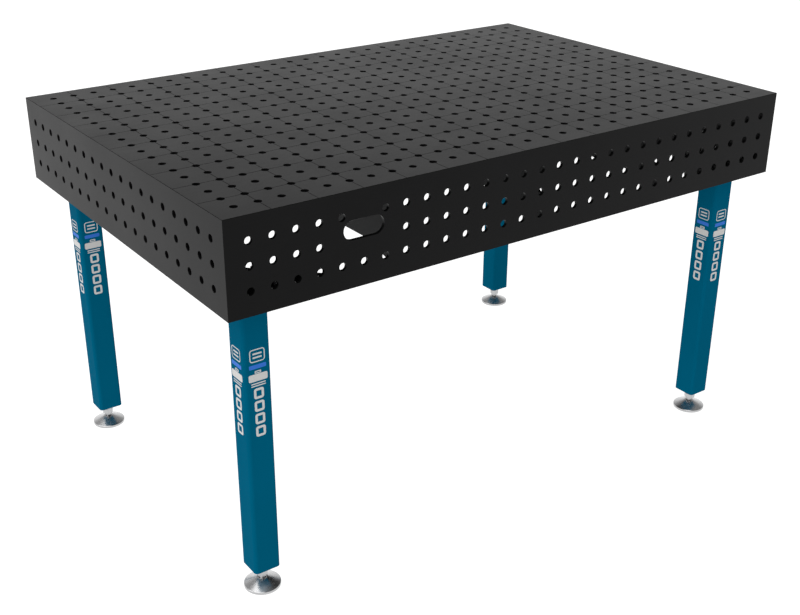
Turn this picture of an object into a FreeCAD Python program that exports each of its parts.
import FreeCAD, Part
import math
import os

# Perforated steel welding table with a 16 mm clamping hole system, on four legs with levelling feet.
# Row frame in millimetres: +X along the long side, -Y is the front, +Z up.
# The origin is on the floor under the middle of the table.

Vec = FreeCAD.Vector

# ---------------------------------------------------------------- driving dimensions
TABLE_LENGTH = 1500.0
TABLE_WIDTH = 1000.0
TABLE_HEIGHT = 880.0
BOX_DEPTH = 200.0
PLATE = 8.0

HOLE_RADIUS = 8.0
HOLE_PITCH = 50.0

# hand slot in the front plate, between the hole columns
SLOT_WIDTH = 94.0
SLOT_HEIGHT = 40.0
SLOT_CENTRE_X = -450.0
SLOT_DROP = 80.0

# stiffening ribs welded under the top, between the hole columns and rows
RIB_DEPTH = 150.0
RIB_PLACES = {"rib_left": -375.0, "rib_middle": 25.0, "rib_right": 375.0}
LONG_RIB_Y = -25.0
RIB_FOOT_DROP = 27.0
RIB_FOOT_RUN = 89.0
RIB_NOTCH_DEPTH = 28.0
RIB_NOTCH_TOP = 74.0
RIB_NOTCH_BOTTOM = 113.0
RIB_NOTCH_RADIUS = 6.0
RIB_LAP_GAP = 0.2

# legs and their bolted joint to the box
LEG_SIDE = 60.0
LEG_WALL = 3.0
LEG_RADIUS = 8.0
LEG_INSET = 53.0
LEG_BOTTOM = 55.0
CORNER_PLATE_CUT = 290.0
CORNER_PLATE_DROP = 178.0
FLANGE_SIDE = 124.0
FLANGE_THICK = 10.0
FLANGE_RADIUS = 10.0
BOLT_OFFSET = 45.0
BOLT_CLEARANCE_RADIUS = 6.75
END_PLATE_THICK = 6.0

# M12 fasteners
BOLT_RADIUS = 5.95
BOLT_NUT_BORE = 6.0
BOLT_FLATS = 18.0
BOLT_HEAD = 7.5
BOLT_NUT = 10.8
BOLT_LENGTH = 40.0
BOLT_WASHER_RADIUS = 12.0
BOLT_WASHER = 2.5

# levelling foot: M16 spindle with a ball end in a dished disc
SPINDLE_RADIUS = 8.0
SPINDLE_TOP = 140.0
THREAD_GAP = 0.06
BUSH_RADIUS = 13.0
BUSH_BOTTOM = 45.0
BUSH_TOP = 85.0
WASHER_RADIUS = 13.0
WASHER_BORE = 8.5
WASHER_THICK = 2.0
NUT_FLATS = 24.0
NUT_THICK = 13.0
SPINDLE_FLATS = 14.0
SPINDLE_HEX_BOTTOM = 23.0
SPINDLE_HEX_TOP = 28.5
NECK_RADIUS = 4.5
BALL_RADIUS = 7.5
BALL_HEIGHT = 13.5
BALL_GAP = 0.15
LINER_THICK = 1.55
LINER_BELOW = 5.0
LINER_ABOVE = 4.2
DISC_RADIUS = 40.0
DISC_RIM_TOP = 8.0
DISC_UNDERCUT = 1.0
DISC_BOSS_RADIUS = 11.0
DISC_BOSS_TOP = 21.0
DISC_MOUTH_RADIUS = 7.2
DISC_MOUTH_CHAMFER = 1.5
PAD_RADIUS = 36.5
PAD_THICK = 3.0
EDGE_BREAK = 0.8

# ---------------------------------------------------------------- worked-out places
HALF_LENGTH = TABLE_LENGTH / 2
HALF_WIDTH = TABLE_WIDTH / 2
TOP_UNDERSIDE = TABLE_HEIGHT - PLATE
BOX_BOTTOM = TABLE_HEIGHT - BOX_DEPTH
SKIRT_HEIGHT = TOP_UNDERSIDE - BOX_BOTTOM
INNER_HALF_LENGTH = HALF_LENGTH - PLATE
INNER_HALF_WIDTH = HALF_WIDTH - PLATE
LEG_X = HALF_LENGTH - LEG_INSET - LEG_SIDE / 2
LEG_Y = HALF_WIDTH - LEG_INSET - LEG_SIDE / 2
CORNER_PLATE_TOP = TABLE_HEIGHT - CORNER_PLATE_DROP
CORNER_PLATE_BOTTOM = CORNER_PLATE_TOP - PLATE
FLANGE_BOTTOM = CORNER_PLATE_BOTTOM - FLANGE_THICK
RIB_BOTTOM = TABLE_HEIGHT - RIB_DEPTH
CORNERS = {
    "front_left": (-1, -1),
    "front_right": (1, -1),
    "rear_left": (-1, 1),
    "rear_right": (1, 1),
}


# ---------------------------------------------------------------- small builders
def circle_wire(x, y, radius):
    return Part.Wire(Part.makeCircle(radius, Vec(x, y, 0)))


def polygon_face(points):
    return Part.Face(Part.makePolygon(points + points[:1]))


def obround_wire(x, y, width, height):
    """A lying slot with round ends, in the XY plane."""
    r = height / 2
    reach = width / 2 - r
    right = Part.Arc(Vec(x + reach, y - r, 0), Vec(x + reach + r, y, 0), Vec(x + reach, y + r, 0))
    left = Part.Arc(Vec(x - reach, y + r, 0), Vec(x - reach - r, y, 0), Vec(x - reach, y - r, 0))
    top = Part.LineSegment(Vec(x + reach, y + r, 0), Vec(x - reach, y + r, 0))
    bottom = Part.LineSegment(Vec(x - reach, y - r, 0), Vec(x + reach, y - r, 0))
    return Part.Wire([edge.toShape() for edge in (right, top, left, bottom)])


def perforated_plate(length, width, holes):
    """A plate lying in XY from the origin, pierced by the given wires."""
    corners = [Vec(0, 0, 0), Vec(length, 0, 0), Vec(length, width, 0), Vec(0, width, 0)]
    outline = Part.makePolygon(corners + corners[:1])
    face = Part.makeFace([outline] + holes, "Part::FaceMakerBullseye")
    return face.extrude(Vec(0, 0, PLATE))


def stood_up(plate):
    """Turns a lying plate so that its width runs up and its thickness runs towards -Y."""
    plate.rotate(Vec(0, 0, 0), Vec(1, 0, 0), 90)
    return plate


def steps(span):
    """Hole places along one side, one pitch in from each edge."""
    return [HOLE_PITCH * i for i in range(1, int(span / HOLE_PITCH))]


def rounded_box(x_size, y_size, z_size, radius):
    """A box centred on the origin's Z axis, with its upright edges rounded."""
    box = Part.makeBox(x_size, y_size, z_size, Vec(-x_size / 2, -y_size / 2, 0))
    upright = [e for e in box.Edges if abs(e.Vertexes[0].Z - e.Vertexes[-1].Z) > z_size / 2]
    return box.makeFillet(radius, upright)


def hexagon(flats, z_low, z_high):
    """A hexagonal prism about the Z axis, with its corners turned off at both ends."""
    corner = flats / math.sqrt(3)
    points = [
        Vec(corner * math.cos(math.radians(60 * i)), corner * math.sin(math.radians(60 * i)), z_low)
        for i in range(6)
    ]
    prism = polygon_face(points).extrude(Vec(0, 0, z_high - z_low))
    turned = (corner - flats / 2) * 0.9
    lead = turned * math.tan(math.radians(30))
    blank = turned_solid([
        (0, z_low),
        (corner - turned, z_low),
        (corner, z_low + lead),
        (corner, z_high - lead),
        (corner - turned, z_high),
        (0, z_high),
    ])
    return prism.common(blank)


def turned_solid(profile):
    """Revolves (radius, height) points about the Z axis."""
    face = polygon_face([Vec(r, 0, z) for r, z in profile])
    return face.revolve(Vec(0, 0, 0), Vec(0, 0, 1), 360)


def tube(radius, bore, z_low, z_high):
    outer = Part.makeCylinder(radius, z_high - z_low, Vec(0, 0, z_low))
    return outer.cut(Part.makeCylinder(bore, z_high - z_low, Vec(0, 0, z_low)))


def moved(shape, x, y, z=0.0):
    copy = shape.copy()
    copy.translate(Vec(x, y, z))
    return copy


# ---------------------------------------------------------------- box of the table
def top_plate():
    holes = [circle_wire(x, y, HOLE_RADIUS) for x in steps(TABLE_LENGTH) for y in steps(TABLE_WIDTH)]
    plate = perforated_plate(TABLE_LENGTH, TABLE_WIDTH, holes)
    return moved(plate, -HALF_LENGTH, -HALF_WIDTH, TOP_UNDERSIDE)


def skirt_rows():
    """Heights of the three hole rows above the skirt's lower edge."""
    return [BOX_DEPTH - drop for drop in steps(BOX_DEPTH)]


def in_slot_field(x, height):
    """True for the clamping holes that the hand slot and its border take the place of."""
    near = abs(x - HALF_LENGTH - SLOT_CENTRE_X)
    drop = BOX_DEPTH - height
    beside_slot = near < SLOT_WIDTH / 2 + HOLE_RADIUS and abs(drop - SLOT_DROP) < SLOT_HEIGHT / 2 + HOLE_RADIUS
    above_slot = near < HOLE_RADIUS and drop < SLOT_DROP
    return beside_slot or above_slot


def rear_plate():
    holes = [circle_wire(x, h, HOLE_RADIUS) for x in steps(TABLE_LENGTH) for h in skirt_rows()]
    plate = stood_up(perforated_plate(TABLE_LENGTH, SKIRT_HEIGHT, holes))
    return moved(plate, -HALF_LENGTH, HALF_WIDTH, BOX_BOTTOM)


def front_plate():
    holes = [
        circle_wire(x, h, HOLE_RADIUS)
        for x in steps(TABLE_LENGTH)
        for h in skirt_rows()
        if not in_slot_field(x, h)
    ]
    slot = obround_wire(HALF_LENGTH + SLOT_CENTRE_X, BOX_DEPTH - SLOT_DROP, SLOT_WIDTH, SLOT_HEIGHT)
    plate = stood_up(perforated_plate(TABLE_LENGTH, SKIRT_HEIGHT, holes + [slot]))
    return moved(plate, -HALF_LENGTH, -INNER_HALF_WIDTH, BOX_BOTTOM)


def end_skirt(outer_x):
    """A short side plate, between the two long ones."""
    holes = [circle_wire(y - PLATE, h, HOLE_RADIUS) for y in steps(TABLE_WIDTH) for h in skirt_rows()]
    plate = stood_up(perforated_plate(2 * INNER_HALF_WIDTH, SKIRT_HEIGHT, holes))
    plate.rotate(Vec(0, 0, 0), Vec(0, 0, 1), 90)
    return moved(plate, outer_x, -INNER_HALF_WIDTH, BOX_BOTTOM)


def rib_notch(side):
    """The window beside a long side plate, which keeps its middle hole row free."""
    height = RIB_NOTCH_BOTTOM - RIB_NOTCH_TOP
    box = Part.makeBox(2 * PLATE, 2 * RIB_NOTCH_DEPTH, height, Vec(-PLATE, -RIB_NOTCH_DEPTH, 0))
    along_x = [e for e in box.Edges if abs(e.Vertexes[0].X - e.Vertexes[-1].X) > PLATE]
    box = box.makeFillet(RIB_NOTCH_RADIUS, along_x)
    return moved(box, 0, side * INNER_HALF_WIDTH, TABLE_HEIGHT - RIB_NOTCH_BOTTOM)


def transverse_rib(x):
    """A rib across the table, deeper where it meets the long side plates, lapped with the long rib."""
    foot = RIB_BOTTOM - RIB_FOOT_DROP
    inner = INNER_HALF_WIDTH - RIB_FOOT_RUN
    outline = [
        (-INNER_HALF_WIDTH, TOP_UNDERSIDE),
        (-INNER_HALF_WIDTH, foot),
        (-inner, RIB_BOTTOM),
        (inner, RIB_BOTTOM),
        (INNER_HALF_WIDTH, foot),
        (INNER_HALF_WIDTH, TOP_UNDERSIDE),
    ]
    rib = polygon_face([Vec(-PLATE / 2, y, z) for y, z in outline]).extrude(Vec(PLATE, 0, 0))
    for side in (-1, 1):
        rib = rib.cut(rib_notch(side))
    lap_width = PLATE + 2 * RIB_LAP_GAP
    lap_height = (TOP_UNDERSIDE - RIB_BOTTOM) / 2 + RIB_LAP_GAP
    lap = Part.makeBox(2 * PLATE, lap_width, lap_height, Vec(-PLATE, LONG_RIB_Y - lap_width / 2, RIB_BOTTOM))
    return moved(rib.cut(lap), x, 0)


def long_rib():
    """The rib along the table, slotted from above where the three cross ribs pass."""
    size = Vec(2 * INNER_HALF_LENGTH, PLATE, TOP_UNDERSIDE - RIB_BOTTOM)
    rib = Part.makeBox(size.x, size.y, size.z, Vec(-INNER_HALF_LENGTH, LONG_RIB_Y - PLATE / 2, RIB_BOTTOM))
    lap_width = PLATE + 2 * RIB_LAP_GAP
    lap_height = size.z / 2 + RIB_LAP_GAP
    for x in RIB_PLACES.values():
        corner = Vec(x - lap_width / 2, LONG_RIB_Y - PLATE, TOP_UNDERSIDE - lap_height)
        rib = rib.cut(Part.makeBox(lap_width, 2 * PLATE, lap_height, corner))
    return rib


def bolt_places(sx, sy):
    """The four bolts of one leg."""
    return [
        (sx * LEG_X + dx * BOLT_OFFSET, sy * LEG_Y + dy * BOLT_OFFSET) for dx in (-1, 1) for dy in (-1, 1)
    ]


def drilled_for_bolts(plate, sx, sy, z_low, thickness):
    for x, y in bolt_places(sx, sy):
        plate = plate.cut(Part.makeCylinder(BOLT_CLEARANCE_RADIUS, thickness, Vec(x, y, z_low)))
    return plate


def corner_plate(sx, sy):
    """Triangular plate welded into a corner of the box, which the leg is bolted to."""
    reach_x = HALF_LENGTH - CORNER_PLATE_CUT + PLATE
    reach_y = HALF_WIDTH - CORNER_PLATE_CUT + PLATE
    points = [
        Vec(sx * INNER_HALF_LENGTH, sy * INNER_HALF_WIDTH, CORNER_PLATE_BOTTOM),
        Vec(sx * reach_x, sy * INNER_HALF_WIDTH, CORNER_PLATE_BOTTOM),
        Vec(sx * INNER_HALF_LENGTH, sy * reach_y, CORNER_PLATE_BOTTOM),
    ]
    plate = polygon_face(points).extrude(Vec(0, 0, PLATE))
    return drilled_for_bolts(plate, sx, sy, CORNER_PLATE_BOTTOM, PLATE)


# ---------------------------------------------------------------- legs
def leg_tube(sx, sy):
    height = FLANGE_BOTTOM - LEG_BOTTOM
    inner = LEG_SIDE - 2 * LEG_WALL
    wall = rounded_box(LEG_SIDE, LEG_SIDE, height, LEG_RADIUS)
    wall = wall.cut(rounded_box(inner, inner, height, LEG_RADIUS - LEG_WALL))
    return moved(wall, sx * LEG_X, sy * LEG_Y, LEG_BOTTOM)


def leg_flange(sx, sy):
    plate = rounded_box(FLANGE_SIDE, FLANGE_SIDE, FLANGE_THICK, FLANGE_RADIUS)
    plate = moved(plate, sx * LEG_X, sy * LEG_Y, FLANGE_BOTTOM)
    return drilled_for_bolts(plate, sx, sy, FLANGE_BOTTOM, FLANGE_THICK)


def leg_end_plate(sx, sy):
    """Closes the lower end of the tube, flush with it, and holds the threaded bush."""
    inner = LEG_SIDE - 2 * LEG_WALL
    plate = rounded_box(inner, inner, END_PLATE_THICK, LEG_RADIUS - LEG_WALL)
    plate = plate.cut(Part.makeCylinder(BUSH_RADIUS, END_PLATE_THICK))
    return moved(plate, sx * LEG_X, sy * LEG_Y, LEG_BOTTOM)


def leg_bush(sx, sy):
    """Threaded bush, shown at the thread's outer radius with a running gap round the spindle."""
    bush = tube(BUSH_RADIUS, SPINDLE_RADIUS + THREAD_GAP, BUSH_BOTTOM, BUSH_TOP)
    return moved(bush, sx * LEG_X, sy * LEG_Y)


# ---------------------------------------------------------------- leg bolts
def all_bolt_places():
    return [place for sx, sy in CORNERS.values() for place in bolt_places(sx, sy)]


def leg_bolts():
    """Sixteen M12 bolts, put in from below with their heads under the leg flanges."""
    seat = FLANGE_BOTTOM - BOLT_WASHER
    head = hexagon(BOLT_FLATS, seat - BOLT_HEAD, seat)
    shank = Part.makeCylinder(BOLT_RADIUS, BOLT_LENGTH, Vec(0, 0, seat))
    bolt = head.fuse(shank).removeSplitter()
    return Part.makeCompound([moved(bolt, x, y) for x, y in all_bolt_places()])


def leg_bolt_washers():
    """Two washers on each bolt, under the head and under the nut."""
    below = tube(BOLT_WASHER_RADIUS, BOLT_CLEARANCE_RADIUS, FLANGE_BOTTOM - BOLT_WASHER, FLANGE_BOTTOM)
    above = tube(BOLT_WASHER_RADIUS, BOLT_CLEARANCE_RADIUS, CORNER_PLATE_TOP, CORNER_PLATE_TOP + BOLT_WASHER)
    return Part.makeCompound([moved(w, x, y) for x, y in all_bolt_places() for w in (below, above)])


def leg_bolt_nuts():
    seat = CORNER_PLATE_TOP + BOLT_WASHER
    nut = hexagon(BOLT_FLATS, seat, seat + BOLT_NUT)
    nut = nut.cut(Part.makeCylinder(BOLT_NUT_BORE, BOLT_NUT, Vec(0, 0, seat)))
    return Part.makeCompound([moved(nut, x, y) for x, y in all_bolt_places()])


# ---------------------------------------------------------------- levelling feet
def foot_spindle():
    """M16 spindle: ball end, neck, hexagon for the spanner, threaded shank with a chamfered end."""
    ball = Part.makeSphere(BALL_RADIUS, Vec(0, 0, BALL_HEIGHT))
    neck = Part.makeCylinder(NECK_RADIUS, SPINDLE_HEX_BOTTOM - BALL_HEIGHT, Vec(0, 0, BALL_HEIGHT))
    grip = hexagon(SPINDLE_FLATS, SPINDLE_HEX_BOTTOM, SPINDLE_HEX_TOP)
    chamfer = 2 * EDGE_BREAK
    shank = turned_solid([
        (0, SPINDLE_HEX_TOP),
        (SPINDLE_RADIUS, SPINDLE_HEX_TOP),
        (SPINDLE_RADIUS, SPINDLE_TOP - chamfer),
        (SPINDLE_RADIUS - chamfer, SPINDLE_TOP),
        (0, SPINDLE_TOP),
    ])
    return ball.fuse([neck, grip, shank]).removeSplitter()


def foot_lock_nut():
    top = BUSH_BOTTOM - WASHER_THICK
    nut = hexagon(NUT_FLATS, top - NUT_THICK, top)
    return nut.cut(Part.makeCylinder(SPINDLE_RADIUS + THREAD_GAP, NUT_THICK, Vec(0, 0, top - NUT_THICK)))


def foot_washer():
    return tube(WASHER_RADIUS, WASHER_BORE, BUSH_BOTTOM - WASHER_THICK, BUSH_BOTTOM)


def foot_ball_cup():
    """Plastic cup that wraps the ball, open above for the neck and below."""
    centre = Vec(0, 0, BALL_HEIGHT)
    inner = BALL_RADIUS + BALL_GAP
    shell = Part.makeSphere(inner + LINER_THICK, centre).cut(Part.makeSphere(inner, centre))
    slab_height = LINER_BELOW + LINER_ABOVE
    slab = Part.makeCylinder(2 * BALL_RADIUS, slab_height, Vec(0, 0, BALL_HEIGHT - LINER_BELOW))
    return shell.common(slab)


def foot_disc():
    """Turned steel disc: flat rim, shallow cone up to a boss, round seat for the ball cup."""
    body = turned_solid([
        (0, PAD_THICK),
        (PAD_RADIUS + BALL_GAP, PAD_THICK),
        (PAD_RADIUS + BALL_GAP, DISC_UNDERCUT),
        (DISC_RADIUS - EDGE_BREAK, DISC_UNDERCUT),
        (DISC_RADIUS, DISC_UNDERCUT + EDGE_BREAK),
        (DISC_RADIUS, DISC_RIM_TOP - EDGE_BREAK),
        (DISC_RADIUS - EDGE_BREAK, DISC_RIM_TOP),
        (DISC_BOSS_RADIUS, DISC_BOSS_TOP),
        (0, DISC_BOSS_TOP),
    ])
    seat = Part.makeSphere(BALL_RADIUS + LINER_THICK + 2 * BALL_GAP, Vec(0, 0, BALL_HEIGHT))
    mouth = turned_solid([
        (0, BALL_HEIGHT),
        (DISC_MOUTH_RADIUS, BALL_HEIGHT),
        (DISC_MOUTH_RADIUS, DISC_BOSS_TOP - DISC_MOUTH_CHAMFER),
        (DISC_MOUTH_RADIUS + DISC_MOUTH_CHAMFER, DISC_BOSS_TOP),
        (0, DISC_BOSS_TOP),
    ])
    return body.cut(seat).cut(mouth)


def foot_pad():
    """Rubber pad glued into the hollow under the disc."""
    return turned_solid([
        (0, 0),
        (PAD_RADIUS - EDGE_BREAK, 0),
        (PAD_RADIUS, EDGE_BREAK),
        (PAD_RADIUS, PAD_THICK),
        (0, PAD_THICK),
    ])


# ---------------------------------------------------------------- every node
def table_nodes():
    nodes = {
        "top_plate": top_plate(),
        "front_plate": front_plate(),
        "rear_plate": rear_plate(),
        "left_plate": end_skirt(-HALF_LENGTH),
        "right_plate": end_skirt(INNER_HALF_LENGTH),
        "rib_long": long_rib(),
        "leg_bolts": leg_bolts(),
        "leg_bolt_washers": leg_bolt_washers(),
        "leg_bolt_nuts": leg_bolt_nuts(),
    }
    for name, x in RIB_PLACES.items():
        nodes[name] = transverse_rib(x)
    for corner, (sx, sy) in CORNERS.items():
        nodes["corner_plate_" + corner] = corner_plate(sx, sy)
        nodes["leg_" + corner] = leg_tube(sx, sy)
        nodes["leg_flange_" + corner] = leg_flange(sx, sy)
        nodes["leg_end_plate_" + corner] = leg_end_plate(sx, sy)
        nodes["leg_bush_" + corner] = leg_bush(sx, sy)
    return nodes


def foot_nodes():
    pieces = {
        "foot_spindle_": foot_spindle(),
        "foot_lock_nut_": foot_lock_nut(),
        "foot_washer_": foot_washer(),
        "foot_ball_cup_": foot_ball_cup(),
        "foot_disc_": foot_disc(),
        "foot_pad_": foot_pad(),
    }
    return {
        piece + corner: moved(shape, sx * LEG_X, sy * LEG_Y)
        for piece, shape in pieces.items()
        for corner, (sx, sy) in CORNERS.items()
    }


def export(nodes):
    os.makedirs("parts", exist_ok=True)
    for name, shape in nodes.items():
        shape.exportStep("parts/" + name + ".step")


export({**table_nodes(), **foot_nodes()})
